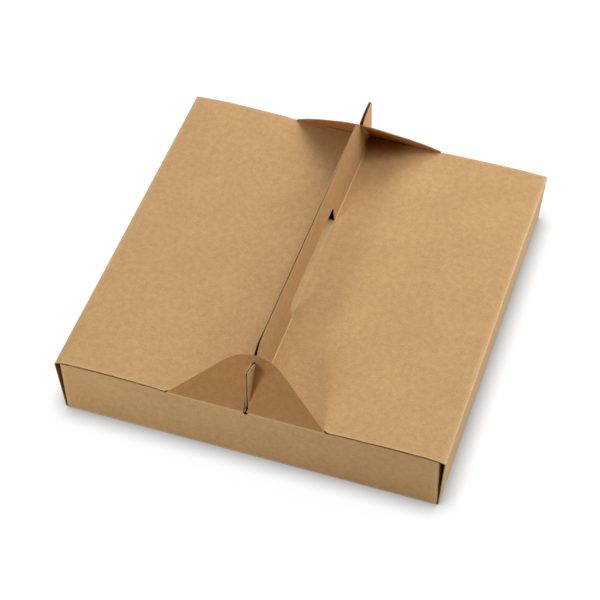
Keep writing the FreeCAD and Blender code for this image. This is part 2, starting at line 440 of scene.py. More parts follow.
@dataclass(frozen=True)
class KraftFace:
    """Face of the board: brown fibres with clouds, fine grain and a few dark flecks."""

    name: str = "kraft_face"
    dark: Triple = (0.46, 0.265, 0.108)
    light: Triple = (0.69, 0.435, 0.203)
    fleck: Triple = (0.26, 0.14, 0.055)
    # Pale colour for worn fibres and painted light.
    worn_and_lit: Triple = (0.84, 0.60, 0.33)
    roughness: float = 0.72
    specular: float = 0.25
    clouds: Pattern = Pattern(34.0, roughness=0.5)
    mottle: Pattern = Pattern(230.0, detail=3.0)
    grain: Pattern = Pattern(1150.0)
    streaks: Pattern = Pattern(420.0, 2.0, 0.5, squeeze=5.0, turn=0.35)
    right_flecks: Pattern = Pattern(190.0, 1.0, 0.5, squeeze=7.0, turn=0.5)
    left_flecks: Pattern = Pattern(150.0, 1.0, 0.5, squeeze=8.0, turn=-0.9)
    dots: Pattern = Pattern(420.0, roughness=0.7)
    fine: Pattern = Pattern(2600.0)
    fleck_range: tuple[float, float] = (0.73, 0.83)
    dot_range: tuple[float, float] = (0.74, 0.84)
    relief: float = 0.00006

    def material(self) -> bpy.types.Material:
        """Builds the finish.

        Returns:
            A material whose colour runs from dark to light by the sum of four noises on the flat
            sheet, crossed by two sets of thin stretched flecks and by dots, and paler where the mesh
            marks it: worn fibres and painted highlight along folds and cut ends, a painted sheen on
            the side walls and painted light on the rear ears.
        """
        material, tree = NodeBench.start(self.name)
        place = tree.attribute("sheet", "Vector")
        clouds = tree.noise(place, self.clouds)
        mottle = tree.noise(place, self.mottle)
        grain = tree.noise(place, self.grain)
        streaks = tree.noise(place, self.streaks)
        tone = tree.sum(0.5, [(clouds, 0.40), (mottle, 0.85), (grain, 1.15), (streaks, 0.75)])
        colour = tree.mix(tone, self.dark, self.light)
        rare = [(tree.ramp(tree.noise(place, pattern), *limits), 0.5) for pattern, limits in (
            (self.right_flecks, self.fleck_range), (self.left_flecks, self.fleck_range),
            (self.dots, self.dot_range))]
        colour = tree.mix(tree.sum(0.75, rare), colour, self.fleck)
        # Paler where the mesh marks it: worn fibres and painted highlight along folds and cut ends, a
        # painted sheen on the side walls and painted light on the rear ears.
        wear_and_painted_light = tree.maths("MULTIPLY", tree.attribute("wear_and_painted_light", "Fac"), tree.ramp(grain, 0.0, 0.62))
        fine = tree.noise(place, self.fine)
        height = tree.sum(0.0, [(grain, 0.6), (fine, 0.5), (streaks, 0.6), (mottle, 2.0)])
        tree.fill(tree.nodes["Principled BSDF"], {
            "Base Color": tree.mix(wear_and_painted_light, colour, self.worn_and_lit),
            "Roughness": tree.sum(self.roughness, [(mottle, 0.12), (grain, 0.16)]),
            "Specular IOR Level": self.specular,
            "Normal": tree.bump(height, self.relief),
        })
        return material


@dataclass(frozen=True)
class CutEdge:
    """Cut edge of the board: rougher than its face and streaked along the layers."""

    name: str = "cut_edge"
    dark: Triple = (0.54, 0.345, 0.16)
    light: Triple = (0.70, 0.475, 0.25)
    roughness: float = 0.9
    specular: float = 0.1
    fibres: Pattern = Pattern(1900.0)
    relief: float = 0.00008

    def material(self) -> bpy.types.Material:
        """Builds the finish.

        Returns:
            A rough material whose colour runs from dark to light by one noise 0.5 mm across.
        """
        material, tree = NodeBench.start(self.name)
        fibres = tree.noise(tree.attribute("sheet", "Vector"), self.fibres)
        tree.fill(tree.nodes["Principled BSDF"], {
            "Base Color": tree.mix(fibres, self.dark, self.light),
            "Roughness": self.roughness,
            "Specular IOR Level": self.specular,
            "Normal": tree.bump(fibres, self.relief),
        })
        return material


class NodeBench:
    """Adds and wires the few kinds of node that the finishes use."""

    def __init__(self, tree: bpy.types.NodeTree) -> None:
        """Keeps the node tree of one material."""
        self.tree = tree
        self.nodes = tree.nodes

    @classmethod
    def start(cls, name: str) -> tuple[bpy.types.Material, "NodeBench"]:
        """Starts a finish.

        Args:
            name: name of the material.

        Returns:
            A new material with nodes, and the bench that adds to them.
        """
        material = bpy.data.materials.new(name)
        material.use_nodes = True
        return material, cls(material.node_tree)

    def fill(self, node: bpy.types.Node, inputs: Inputs) -> None:
        """Joins sockets to the inputs of a node, or sets their values.

        Args:
            node: the node.
            inputs: a socket or a value for each name or number of an input.
        """
        for key, value in inputs.items():
            if isinstance(value, Socket):
                self.tree.links.new(value, node.inputs[key])
            else:
                node.inputs[key].default_value = value

    def add(self, kind: str, inputs: Inputs, output: str | int = 0, **settings: str | int) -> Socket:
        """Adds a node.

        Args:
            kind: its kind, without the word that all of them begin with.
            inputs: a socket or a value for each input that is used.
            output: which of its outputs to use.
            settings: the node's own properties.

        Returns:
            That output.
        """
        node = self.nodes.new(f"ShaderNode{kind}")
        for name, value in settings.items():
            setattr(node, name, value)
        self.fill(node, inputs)
        return node.outputs[output]

    def attribute(self, name: str, output: str) -> Socket:
        """Reads an attribute of the mesh."""
        return self.add("Attribute", {}, output, attribute_name=name)

    def noise(self, place: Socket, pattern: Pattern) -> Socket:
        """Adds a noise.

        Args:
            place: where it is read.
            pattern: its kind.

        Returns:
            The noise, between 0 and 1 around a half.
        """
        if pattern.squeeze != 1.0:
            inputs = {"Rotation": (0.0, 0.0, pattern.turn), "Scale": (1.0, pattern.squeeze, 1.0)}
            place = self.add("Mapping", {"Vector": place, **inputs})
        inputs = {"Scale": pattern.scale, "Detail": pattern.detail, "Roughness": pattern.roughness}
        return self.add("TexNoise", {"Vector": place, **inputs}, "Fac")

    def maths(self, operation: str, *values: Socket | float) -> Socket:
        """Works out one step of arithmetic on sockets and numbers."""
        return self.add("Math", dict(enumerate(values)), operation=operation)

    def sum(self, middle: float, terms: list[tuple[Socket, float]]) -> Socket:
        """Adds weighted noises to a number.

        Args:
            middle: the result where every noise is a half.
            terms: pairs of a noise and its weight.

        Returns:
            middle plus each weight times its noise less a half.
        """
        total = middle - 0.5 * sum(weight for _, weight in terms)
        for source, weight in terms:
            total = self.maths("MULTIPLY_ADD", source, weight, total)
        return total

    def ramp(self, source: Socket, low: float, high: float) -> Socket:
        """Maps low to 0 and high to 1, smoothly."""
        inputs = {"Value": source, "From Min": low, "From Max": high}
        return self.add("MapRange", inputs, "Result", interpolation_type="SMOOTHSTEP")

    def mix(self, factor: Socket, first: Socket | Triple, second: Socket | Triple) -> Socket:
        """Mixes two colours, by the inputs and the output of the node that work on colours.

        Args:
            factor: 0 gives the first, 1 the second.
            first: a socket or a colour.
            second: a socket or a colour.

        Returns:
            The mixed colour.
        """
        factor_input, first_input, second_input, colour_output = 0, 6, 7, 2
        first, second = ((*value, 1.0) if isinstance(value, tuple) else value
                         for value in (first, second))
        inputs = {factor_input: factor, first_input: first, second_input: second}
        return self.add("Mix", inputs, colour_output, data_type="RGBA")

    def bump(self, height: Socket, relief: float, strength: float = 0.6) -> Socket:
        """Turns a height between 0 and 1 into a bumped normal, where 1 stands for relief in metres."""
        return self.add("Bump", {"Height": height, "Distance": relief, "Strength": strength})


@dataclass(frozen=True)
class Dressing:
    """The finishes that each piece of board takes: its faces, its cut edges, and painted shade for
    chosen cut edges and insides.
    """

    face: bpy.types.Material
    edge: bpy.types.Material
    painted_shade: bpy.types.Material | None = None

    def put_on(self, piece: bpy.types.Object, body: str) -> None:
        """Gives a piece its finishes and its body.

        Args:
            piece: the piece of board.
            body: the body that carries it.
        """
        piece.data.materials.append(self.face)
        piece.data.materials.append(self.edge)
        if self.painted_shade is not None:
            piece.data.materials.append(self.painted_shade)
        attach(piece, body)
        log.info("%s: %d faces, rides on %s", piece.name, len(piece.data.polygons), body)


@dataclass(frozen=True)
class Billow:
    """How far a lid half stands above or below its plane, from the crease out to the side fold.

    Each row holds heights at the distances in places, along one line across the lid half. cut
    holds how far back the lid half reaches under the rear lock flap.
    """

    front: tuple[float, ...]
    middle: tuple[float, ...]
    rear: tuple[float, ...]
    cut: tuple[float, ...]
    cut_places: tuple[float, ...] = (0.0, 10.0, 20.0, 30.0, 40.0, 46.0, 54.0)
    blend_start: float = 20.0
    blend_end: float = 129.35
    blend_power: float = 1.5
    places: tuple[float, ...] = (0.0, 44.0, 53.5, 66.0, 78.0, 95.0, 110.0, 121.0, 127.0, 130.0)

    @staticmethod
    def of(side: Side) -> "Billow":
        """Finds the heights of one lid half. Both stand up most beside the front lock flap.

        Args:
            side: which half of the box.

        Returns:
            Its rows of heights and its set-back.
        """
        if side is Side.LEFT:
            return Billow((0.0, 0.0, 1.2, 2.4, 2.95, 3.3, 3.1, 2.75, 1.9, 0.4),
                          (0.0, 0.9, 1.0, 1.2, 1.3, 1.2, 0.9, 0.5, 0.2, 0.0),
                          (0.0, -0.4, -0.7, 0.2, 0.65, 1.3, 1.4, 0.95, 0.5, 0.2),
                          (127.5, 127.5, 127.6, 128.1, 128.7, 129.0, 129.3))
        return Billow((0.0, 0.0, 1.7, 2.6, 2.8, 3.35, 3.1, 2.9, 2.2, 1.2),
                      (0.0, 0.9, 1.0, 1.1, 1.2, 1.1, 0.8, 0.5, 0.2, 0.0),
                      (0.0, -0.6, -1.3, -1.05, -1.1, -1.0, -1.15, -1.6, -2.0, -2.0),
                      (128.2, 128.1, 127.5, 127.3, 127.6, 128.1, 128.9))

    def rise(self, x: Array, y: Array) -> Array:
        """Height above the plane.

        Args:
            x: distance from the middle, always positive.
            y: places along the lid half, from the front to the rear.

        Returns:
            A smooth curve through the heights of each line, and between the lines a blend that
            keeps to the middle one except near the two ends.
        """
        rows = (self.front, self.middle, self.rear)
        front, middle, rear = (self.along(np.array(row), np.abs(x)) for row in rows)
        near_front = smooth(-y, self.blend_start, self.blend_end) ** self.blend_power
        near_rear = smooth(y, self.blend_start, self.blend_end) ** self.blend_power
        return middle * (1.0 - near_front - near_rear) + front * near_front + rear * near_rear

    def along(self, heights: Array, x: Array) -> Array:
        """Reads one line across the lid half.

        Args:
            heights: the heights at the places.
            x: where to read it.

        Returns:
            Cubic runs from place to place, whose slope at each place is the mean one around it.
        """
        places = np.array(self.places)
        slopes = np.gradient(heights, places)
        at = np.clip(np.searchsorted(places, x, side="right") - 1, 0, len(places) - 2)
        wide = places[at + 1] - places[at]
        way = np.clip((x - places[at]) / wide, 0.0, 1.0)
        up = way * way * (3.0 - 2.0 * way)
        leaving = way * (1.0 - way) ** 2 * wide
        arriving = way * way * (way - 1.0) * wide
        level = heights[at] * (1.0 - up) + heights[at + 1] * up
        return level + slopes[at] * leaving + slopes[at + 1] * arriving


@dataclass
class Wrap:
    """Base, side walls and lid halves, one strip folded round the box."""

    blank: Blank
    dressing: Dressing
    lid_step: float = 2.8
    base_step: float = 8.0
    end_step: float = 2.2
    bend_steps: int = 6
    wall_steps: int = 14
    flap_edge: tuple[float, ...] = (50.0, 52.0, 53.6, 54.0, 54.4, 54.8, 56.0)
    fixed_half: float = 119.0
    edge_inset: float = 0.05
    flap_play: float = 0.25
    flap_slope: float = 0.9
    flap_fade: tuple[float, float] = (0.1, 1.2)
    calm_foot: float = 8.0
    past_crease: float = 0.3
    fold_rub_and_highlight_width: float = 0.9
    end_rub_and_highlight_width: float = 0.5
    wall_painted_sheen: float = 0.48

    def section(self) -> tuple[Array, Array, Array, Array]:
        """Section of the right half, from the handle crease round to the middle of the base.

        Returns:
            X and Z of each point, how far it is along its lid half (more than 1 beyond it), and
            its distance along the flat sheet from the middle of the base.
        """
        b = self.blank
        head = (b.top_half - b.half_card, b.lid_mid)
        foot = (b.base_half - b.half_card, b.half_card)
        top_bend = fillet(head, (0.0, b.lid_mid), foot, b.bend, self.bend_steps)
        low_bend = fillet(foot, head, (0.0, b.half_card), b.bend, self.bend_steps)
        lid_x = stops([b.lid_start, *self.flap_edge, top_bend[0, 0]], self.lid_step)[:-1]
        lid = np.stack([lid_x, np.full_like(lid_x, b.lid_mid)], 1)
        way = np.linspace(0.0, 1.0, self.wall_steps + 1)[1:-1, None]
        wall = top_bend[-1] * (1.0 - way) + low_bend[0] * way
        base_x = stops([0.0, low_bend[-1, 0]], self.base_step)[::-1][1:]
        base = np.stack([base_x, np.full_like(base_x, b.half_card)], 1)
        line = np.concatenate([lid, top_bend, wall, low_bend, base])
        length = path_length(line)
        along = (line[:, 0] - b.lid_start) / (top_bend[0, 0] - b.lid_start)
        along[len(lid_x) + 1:] = 2.0
        return line[:, 0], line[:, 1], along, length[-1] - length

    def half(self, billow: Billow) -> Patch:
        """The right half of the strip.

        A lid half billows between its folds. Its ends are set back where the closed lock flaps
        lean over them, and the base ends where the front and rear walls bend up from it.

        Args:
            billow: how the lid half departs from a plane.

        Returns:
            The patch, its outside facing out.
        """
        b = self.blank
        x, z, along, flat = self.section()
        outer = stops([b.crease_end + self.past_crease, self.fixed_half, b.half_depth], self.end_step)
        v = np.concatenate([-outer[::-1], b.crease_stations(), outer])
        x, v_grid = np.meshgrid(x, v, indexing="ij")
        z, along, flat_u = (spread(column, len(v)) for column in (z, along, flat))
        on_lid = along <= 1.0
        inset = b.lid_start - b.foot_x(v_grid) - self.edge_inset
        x = x - np.where(on_lid & (np.abs(v_grid) > b.crease_end), inset * (1.0 - along), 0.0)
        down_wall = smooth(z, b.half_card + self.calm_foot, b.lid_mid)
        z = z + billow.rise(x, v_grid) * np.where(on_lid, 1.0, down_wall)
        to_base = 1.0 - smooth(z, b.half_card, b.half_card + b.bend * 0.8)
        wall_end = b.half_depth - (b.half_card + b.bend) * to_base
        end = np.where(on_lid, self.lid_end(x, z, v_grid, billow), wall_end)
        reach = (end - self.fixed_half) / (b.half_depth - self.fixed_half)
        beyond = np.maximum(np.abs(v_grid) - self.fixed_half, 0.0)
        y = np.sign(v_grid) * (np.minimum(np.abs(v_grid), self.fixed_half) + beyond * reach)
        # Paler along the folds and the lid ends, worn fibres and painted highlight, and on the side
        # walls a painted sheen.
        fold_top = bell(flat_u - flat[0] + b.top_half - b.lid_start, self.fold_rub_and_highlight_width)
        fold_low = bell(flat_u - b.base_half, self.fold_rub_and_highlight_width)
        ends = bell(b.half_depth - np.abs(v_grid), self.end_rub_and_highlight_width)
        wall = smooth(flat_u, b.base_half, b.base_half + 1.5) * (along > 1.0)
        wear_and_painted_light = np.clip(0.7 * fold_top + 0.6 * fold_low + 0.3 * ends + self.wall_painted_sheen * wall, 0.0, 1.0)
        return Patch(np.stack([x, y, z], -1), np.stack([flat_u, v_grid], -1), wear_and_painted_light)

    def lid_end(self, x: Array, z: Array, y: Array, billow: Billow) -> Array:
        """Finds how far each line along a lid half reaches.

        Args:
            x: distance from the middle.
            z: height of the middle of the board.
            y: places along the box, of which the sign tells the end.
            billow: how the lid half is set back at the rear.

        Returns:
            Just short of the lock flap's plane where a closed flap leans over the lid half, and
            the full depth of the box beside it.
        """
        b = self.blank
        flap_top = b.lid_mid + self.flap_slope * np.maximum(b.flap_half - x, 0.0) * math.cos(b.flap_lean)
        behind = b.clear_of_flap(np.minimum(z + b.half_card, flap_top)) + self.flap_play
        rear_cut = np.where(y > 0.0, np.interp(x, billow.cut_places, billow.cut), np.inf)
        under_flap = 1.0 - smooth(x, *(b.flap_half + fade for fade in self.flap_fade))
        return b.half_depth + (np.minimum(behind, rear_cut) - b.half_depth) * under_flap

    def build(self) -> bpy.types.Object:
        """Makes the strip, which stands for the carton of the frame.

        Returns:
            The piece.
        """
        right = self.half(Billow.of(Side.RIGHT))
        left = self.half(Billow.of(Side.LEFT)).mirrored()
        # The whole inside of the strip takes the third finish, painted shade.
        piece = Board("wrap", self.blank.card, [right, left], shaded_inside=True).mesh()
        self.dressing.put_on(piece, "carton")
        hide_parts("carton")
        return piece


@dataclass
class EndWall:
    """Front or rear wall, folded up from the base, with the tabs that turn in at its corners."""

    blank: Blank
    dressing: Dressing
    end: End
    tab_length: float = 34.0
    foot: float = 2.1
    top: float = 43.6
    crease_step: float = 0.4
    rear_bite: float = 0.35
    follow: float = 0.75
    bend_steps: int = 7
    low_rows: int = 13
    column_step: float = 3.2
    tab_step: float = 3.6
    crease_rub_and_highlight_width: float = 0.35
    edge_rows: tuple[float, ...] = (0.975, 0.985, 0.993, 1.0)

    def plan(self) -> tuple[Array, Array, Array]:
        """Middle line of the right half, seen from above, from the middle to the end of the tab.

        Returns:
            X, distance inwards from the wall's middle plane, and length along the line.
        """
        b = self.blank
        side = b.base_half - b.card - b.clear - b.half_card
        far_in = self.tab_length - b.half_card
        bend = fillet((side, 0.0), (0.0, 0.0), (side, far_in), b.bend, self.bend_steps)
        marks = np.append(b.slit_stations(), [b.flap_half, b.flap_half + self.crease_step, bend[0, 0]])
        wall_x = stops(marks, self.column_step)[:-1]
        wall = np.stack([wall_x, np.zeros_like(wall_x)], 1)
        tab_y = stops([bend[-1, 1], far_in], self.tab_step)[1:]
        tab = np.stack([np.full_like(tab_y, side), tab_y], 1)
        line = np.concatenate([wall, bend, tab])
        return line[:, 0], line[:, 1], path_length(line)

    def top_edge(self, x: Array, side: Side) -> Array:
        """Height of the wall's top edge.

        Args:
            x: distance from the middle along the wall.
            side: the half of the box that this half of the wall closes.

        Returns:
            The crease's height under the lock flap, less a hollow at the foot of its slit, and
            elsewhere just under the lid half, which it follows as that stands up or sinks.
        """
        b = self.blank
        rise = Billow.of(side).rise(x, np.full_like(x, self.end.value * b.half_depth))
        top = self.top + self.follow * np.maximum(rise, 0.0) + np.minimum(rise, 0.0)
        bite = b.slit_end(x) * (1.0 if self.end is End.FRONT else self.rear_bite)
        under = smooth(x, b.flap_half, b.flap_half + self.crease_step)
        return b.lid_mid - bite - (b.lid_mid - top) * under

    def half(self, side: Side) -> list[Patch]:
        """The right half of the front wall with its tab, and its bend down to the base.

        Args:
            side: the half of the box that this half of the wall closes once it is in place.

        Returns:
            The two patches, their outsides facing out for the front wall.
        """
        b = self.blank
        x, inward, length = self.plan()
        top = self.top_edge(length, side)
        rows = np.append(np.linspace(0.0, self.edge_rows[0], self.low_rows + 1), self.edge_rows[1:])
        z = self.foot + (top[:, None] - self.foot) * rows
        y_grid = -b.hinge_y + spread(inward, len(rows))
        flat = np.stack([spread(length, len(rows)), -b.half_depth - z], -1)
        # Paler along the crease under the lock flap and at the corner fold: worn fibres and painted
        # highlight.
        crease = bell(top[:, None] - z, self.crease_rub_and_highlight_width) * (length[:, None] < b.flap_half)
        corner = bell(length[:, None] - (b.base_half - b.card - b.clear), 1.0)
        wear_and_painted_light = np.clip(0.9 * crease + 0.5 * corner, 0.0, 1.0)
        upright = Patch(np.stack([spread(x, len(rows)), y_grid, z], -1), flat, wear_and_painted_light)
        swing = np.linspace(math.pi / 2.0, 0.0, self.bend_steps + 1)
        y_low = np.append(-b.hinge_y + b.bend * (1.0 - np.cos(swing)), -b.hinge_y)
        z_low = np.append(b.half_card + b.bend * (1.0 - np.sin(swing)), self.foot)
        x_low, y_low = np.meshgrid(x[inward < 1e-9], y_low, indexing="ij")
        points = np.stack([x_low, y_low, np.broadcast_to(z_low, x_low.shape)], -1)
        flat_low = np.stack([x_low, -b.half_depth - points[..., 2]], -1)
        # The bend to the base is paler: worn fibres and painted highlight.
        return [upright, Patch(points, flat_low, 0.55 * bell(points[..., 2] - 0.8, 0.9))]

    def build(self) -> bpy.types.Object:
        """Makes the wall. The rear one is built in front and turned half round about Z.

        Returns:
            The piece.
        """
        first, second = (Side.RIGHT, Side.LEFT) if self.end is End.FRONT else (Side.LEFT, Side.RIGHT)
        patches = self.half(first) + [patch.mirrored() for patch in self.half(second)]
        if self.end is End.REAR:
            patches = [patch.turned() for patch in patches]
        piece = Board(f"{self.end.name.lower()}_wall", self.blank.card, patches).mesh()
        self.dressing.put_on(piece, "carton")
        return piece


@dataclass(frozen=True)
class Ear:
    """An ear: the height of its notch, its top outline out to the corner, and its slant.

    The outline's points are distances from the middle and heights.
    """

    notch: float
    top: tuple[tuple[float, float], ...]
    slant: float

    @property
    def corner(self) -> float:
        """Distance from the middle of the ear's end."""
        return self.top[-1][0]


@dataclass
class HandlePanel:
    """One of the two panels that stand up along the middle, with its ears."""

    blank: Blank
    dressing: Dressing
    side: Side
    head_x: float = 0.4
    slack: float = 0.17
    parting: float = 0.3
    rear_parting: float = 0.28
    foot_parting: float = 0.5
    parted_front: tuple[float, ...] = (84.0, 101.0, 105.0, 111.0)
    parted_rear: tuple[float, ...] = (103.0, 113.0, 120.0, 133.0)
    slack_run: tuple[float, float] = (-85.0, 10.0)
    rub_and_highlight_width: float = 0.8
    rear_painted_light: float = 0.45
    rear_painted_light_start: tuple[float, float] = (111.5, 113.0)
    painted_shade_from: float = 108.0
    rows: int = 14
    side_rows: int = 6
    front_rise: tuple[float, float] = (0.3, 1.0)
    rear_rise: tuple[float, float] = (0.2, 0.75)
    flat_start: float = 300.0
    shoulder: float = 98.95
    shoulder_drop: float = 3.2
    front_ear: Ear = Ear(71.3, ((110.7, 72.3), (112.0, 73.1), (114.0, 74.1), (116.0, 75.0),
                                (118.0, 75.8), (120.0, 76.35), (122.0, 76.7), (122.9, 76.6),
                                (123.2, 76.2), (123.3, 75.4)), 2.3)
    rear_ear: Ear = Ear(68.58, ((112.7, 71.0), (116.0, 72.1), (120.0, 72.9), (124.5, 73.4),
                                (129.0, 73.6), (132.2, 73.3), (133.5, 72.7), (134.1, 71.6)), -1.2)

    def outline(self, ear: Ear) -> Array:
        """Top outline of one end, as rows of distance from the middle and height.

        Args:
            ear: the ear at that end.

        Returns:
            Points from the end of the level edge, down the shoulder into the notch, up the ear's
            steep inner side and along its top to its end.
        """
        b = self.blank
        brow_z = b.handle_top - self.shoulder_drop
        floor_y = float(b.clear_of_flap(ear.notch))
        ear_foot = floor_y + 2.0 * (b.half_card + b.clear) / math.cos(b.flap_lean)
        start = np.array([[self.shoulder, b.handle_top], [float(b.clear_of_flap(brow_z)), brow_z],
                          [floor_y, ear.notch], [ear_foot, ear.notch]])
        return np.concatenate([start, np.array(ear.top)])

    def middle_x(self, y: Array, z: Array) -> Array:
        """X of the middle of the right panel.

        Args:
            y: places along the handle.
            z: heights.

        Returns:
            A straight line from the crease to the top edge, whose top end comes nearer to the
            middle towards the rear. The panel moves out where the two part behind the front lock
            flap and at the rear ear, and at the foot of the right panel's front ear.
        """
        b = self.blank
        foot = b.foot_x(y)
        low = b.lid_mid + b.crease_bend
        way = np.clip((z - low) / (b.handle_top - low), 0.0, 1.0)
        apart = hill(-y, *self.parted_front) * smooth(way, *self.front_rise)
        rear = hill(y, *self.parted_rear) * smooth(way, *self.rear_rise)
        ear = smooth(-y, b.crease_end, self.front_ear.corner) * (1.0 - way) * (self.side is Side.RIGHT)
        moved = self.parting * apart + self.rear_parting * rear + self.foot_parting * ear
        head = self.head_x + self.slack * smooth(-y, *self.slack_run)
        return foot + (head - foot) * way + moved

    def slanted_y(self, y: Array, z: Array) -> Array:
        """Y of the panel's points once the ends of the ears are slanted.

        Args:
            y: places along the handle.
            z: heights.

        Returns:
            Y moved outwards by the ear's slant, in full at the ear's foot and end, and by less
            the nearer to its corner's height or to the crease's end.
        """
        b = self.blank
        for sign, ear in ((-1.0, self.front_ear), (1.0, self.rear_ear)):
            out = np.clip((sign * y - b.crease_end) / (ear.corner - b.crease_end), 0.0, 1.0)
            corner_z = ear.top[-1][1]
            low = np.clip((corner_z - z) / (corner_z - b.lid_mid), 0.0, 1.0)
            y = y + sign * ear.slant * out * low
        return y

    def patches(self) -> list[Patch]:
        """The right panel: its foot bends, the parts beside the hand hole and the part above it.

        Returns:
            Five patches that share their edges, their outsides facing away from the middle.
        """
        b = self.blank
        front = self.outline(self.front_ear) * np.array([-1.0, 1.0])
        rear = self.outline(self.rear_ear)
        edge = np.concatenate([front[::-1], rear])
        marks = np.concatenate([edge[:, 0], b.crease_stations()])
        y = np.unique(np.round(marks, 6))
        top = np.interp(y, edge[:, 0], edge[:, 1])
        low = b.lid_mid + b.crease_bend
        in_hole = (y > -b.hole_front) & (y < b.hole_rear)
        side_rise = b.hole_rise - np.where(y < 0.0, b.hole_front_radius, b.hole_rear_radius)
        middle = b.lid_mid + b.half_card + np.where(in_hole, b.hole_reach(y) - b.half_card, side_rise)
        upper = self.stand(y, middle, top, self.rows)
        beside = []
        for chosen in (y <= -b.hole_front, y >= b.hole_rear):
            foot = np.full(chosen.sum(), low)
            beside.append(self.stand(y[chosen], foot, middle[chosen], self.side_rows))
            creased = chosen & (np.abs(y) <= b.crease_end)
            beside.append(self.foot_bend(y[creased]))
        return [upper] + beside

    def stand(self, y: Array, low: Array, high: Array, cells: int) -> Patch:
        """Builds an upright patch between two heights given at each Y.

        Args:
            y: places along the handle.
            low: lower height at each.
            high: upper height at each.
            cells: number of rows.

        Returns:
            The patch.
        """
        z = between(low, high, np.linspace(0.0, 1.0, cells + 1))
        y_grid = spread(y, cells + 1)
        points = np.stack([self.middle_x(y_grid, z), self.slanted_y(y_grid, z), z], -1)
        # Paler along the crease, worn fibres and painted highlight, and over the rear ear, painted
        # light.
        crease = 0.9 * bell(z - self.blank.lid_mid, self.rub_and_highlight_width)
        wear_and_painted_light = np.maximum(crease, self.rear_painted_light * smooth(y_grid, *self.rear_painted_light_start))
        return Patch(points, np.stack([self.flat_start + z, y_grid], -1), wear_and_painted_light)

    def foot_bend(self, y: Array) -> Patch:
        """The bend from the lid half up into the panel.

        Args:
            y: places along the crease.

        Returns:
            A short level run from the lid half, then a quarter circle up.
        """
        b = self.blank
        foot = self.middle_x(y, np.full_like(y, b.lid_mid + b.crease_bend))[:, None]
        swing = np.linspace(0.0, math.pi / 2.0, 7)
        x_arc = foot + b.crease_bend * (1.0 - np.sin(swing))
        z_arc = np.broadcast_to(b.lid_mid + b.crease_bend * (1.0 - np.cos(swing)), x_arc.shape)
        start = np.full_like(foot, b.lid_start)
        level = np.full_like(foot, b.lid_mid)
        x = np.concatenate([start, (start + x_arc[:, :1]) / 2.0, x_arc], 1)
        z = np.concatenate([level, level, z_arc], 1)
        y_grid = spread(y, x.shape[1])
        # The foot bend is paler: worn fibres and painted highlight.
        wear_and_painted_light = np.broadcast_to([0.0, 0.3] + [0.95] * len(swing), x.shape)
        return Patch(np.stack([x, y_grid, z], -1), np.stack([self.flat_start + z - x, y_grid], -1), wear_and_painted_light)

    def build(self) -> bpy.types.Object:
        """Makes the panel, with painted shade on its cut edges at the rear ear and on its inside.

        Returns:
            The piece.
        """
        patches = self.patches()
        if self.side is Side.LEFT:
            patches = [patch.mirrored() for patch in patches]
        piece = Board(f"{self.side.name.lower()}_handle_panel", self.blank.card, patches,
                      painted_shade=lambda middle: middle[:, 1] > self.painted_shade_from, shaded_inside=True).mesh()
        self.dressing.put_on(piece, "carton")
        return piece


@dataclass
class Tongue:
    """What was cut free for the hand hole, still joined to its own lid half."""

    blank: Blank
    dressing: Dressing
    side: Side
    tilt: float = math.radians(8.0)

    def patch(self) -> Patch:
        """The right tongue: level up to the crease, then straight with a small tilt.

        Returns:
            The patch. Its far edge follows the cut of the hand hole. The right tongue rises, the
            left one dips, so that they pass each other.
        """
        b = self.blank
        y = b.hole_stations()
        reach = b.hole_reach(y) - b.half_card
        way = np.append([-b.crease_bend, -b.crease_bend / 2.0], np.linspace(0.0, 1.0, 8))
        out = np.where(way > 0.0, way * reach[:, None], way)
        rise = self.side.value * np.sin(self.tilt) * np.maximum(out, 0.0)
        x = b.crease_x - np.where(out > 0.0, out * math.cos(self.tilt), out)
        y_grid = spread(y, len(way))
        flat = np.stack([HandlePanel.flat_start + out, y_grid], -1)
        # Slightly paler along the crease: worn fibres and painted highlight.
        return Patch(np.stack([x, y_grid, b.lid_mid + rise], -1), flat, 0.12 * bell(out, 0.8))

    def build(self) -> bpy.types.Object:
        """Makes the tongue.

        Returns:
            The piece.
        """
        patch = self.patch()
        if self.side is Side.LEFT:
            patch = patch.mirrored()
        piece = Board(f"{self.side.name.lower()}_tongue", self.blank.card, [patch]).mesh()
        self.dressing.put_on(piece, "carton")
        return piece


